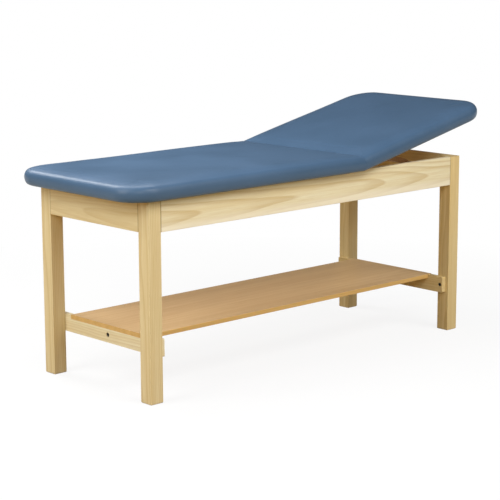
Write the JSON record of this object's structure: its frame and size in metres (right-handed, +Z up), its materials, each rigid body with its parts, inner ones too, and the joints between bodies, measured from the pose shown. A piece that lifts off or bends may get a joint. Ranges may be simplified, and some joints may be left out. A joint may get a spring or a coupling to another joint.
{
  "type": "examination table",
  "caption": "Wooden examination table on square legs with a lower shelf, a padded flat section and a hinged padded backrest held by a prop on notched racks.",
  "frame": {"origin": "on the floor, under the middle of the resting table's outline", "axes": "+X along the table to the head end, +Y across it to the far side, +Z up"},
  "size_m": [1.8056, 0.686, 0.9081],
  "materials": {
    "frame_wood": "clear satin lacquer",
    "inner_wood": "bare",
    "dowel_wood": "bare",
    "plywood": "bare",
    "laminate": "satin laminate",
    "vinyl": "satin grained vinyl",
    "steel": "plated",
    "zinc_steel": "zinc",
    "dark_steel": "black oxide"
  },
  "bodies": {
    "frame": {"angle_screws": "zinc_steel", "apron_dowels": "dowel_wood", "centre_stretcher": "inner_wood", "cleat_screws": "zinc_steel", "corner_block_foot_far": "inner_wood", "corner_block_foot_near": "inner_wood", "corner_block_head_far": "inner_wood", "corner_block_head_near": "inner_wood", "end_apron_foot": "frame_wood", "end_apron_head": "frame_wood", "flat_board": "plywood", "flat_pad": "vinyl", "hanger_bolts": "zinc_steel", "hanger_nuts": "zinc_steel", "hinge_fixed_leaf_far": "steel", "hinge_fixed_leaf_near": "steel", "hinge_fixed_screws": "zinc_steel", "hinge_pin_far": "steel", "hinge_pin_near": "steel", "hinge_rail": "inner_wood", "leg_foot_far": "frame_wood", "leg_foot_near": "frame_wood", "leg_head_far": "frame_wood", "leg_head_near": "frame_wood", "leg_inserts": "zinc_steel", "lower_rail_foot": "frame_wood", "lower_rail_head": "frame_wood", "rack_far": "inner_wood", "rack_near": "inner_wood", "rail_angle_far": "steel", "rail_angle_near": "steel", "rail_bolts": "dark_steel", "shelf": "laminate", "side_apron_far": "frame_wood", "side_apron_near": "frame_wood", "stretcher_bolts": "dark_steel", "stretcher_nuts": "zinc_steel", "top_cleat_far": "inner_wood", "top_cleat_near": "inner_wood"},
    "backrest": {"backrest_board": "plywood", "backrest_pad": "vinyl", "bracket_screws": "zinc_steel", "hinge_moving_leaf_far": "steel", "hinge_moving_leaf_near": "steel", "hinge_moving_screws": "zinc_steel", "prop_bracket_far": "dark_steel", "prop_bracket_near": "dark_steel", "prop_pivot_rod": "dark_steel"},
    "prop": {"prop_arm_far": "dark_steel", "prop_arm_near": "dark_steel", "prop_foot_rod": "dark_steel"}
  },
  "joints": [
    {"name": "backrest_tilt", "type": "hinge", "parent": "frame", "child": "backrest", "pos_m": [0.20221, 0, 0.6969], "axis": [0, -1, 0], "range_deg": [-12.6, 37.4]},
    {"name": "prop_swing", "type": "hinge", "parent": "backrest", "child": "prop", "pos_m": [0.45987, 0, 0.73605], "axis": [0, -1, 0], "range_deg": [-74.8, 25.2]}
  ],
  "couplings": [
    {"joint": "prop_swing", "follows": "backrest_tilt", "ratio": -2}
  ]
}
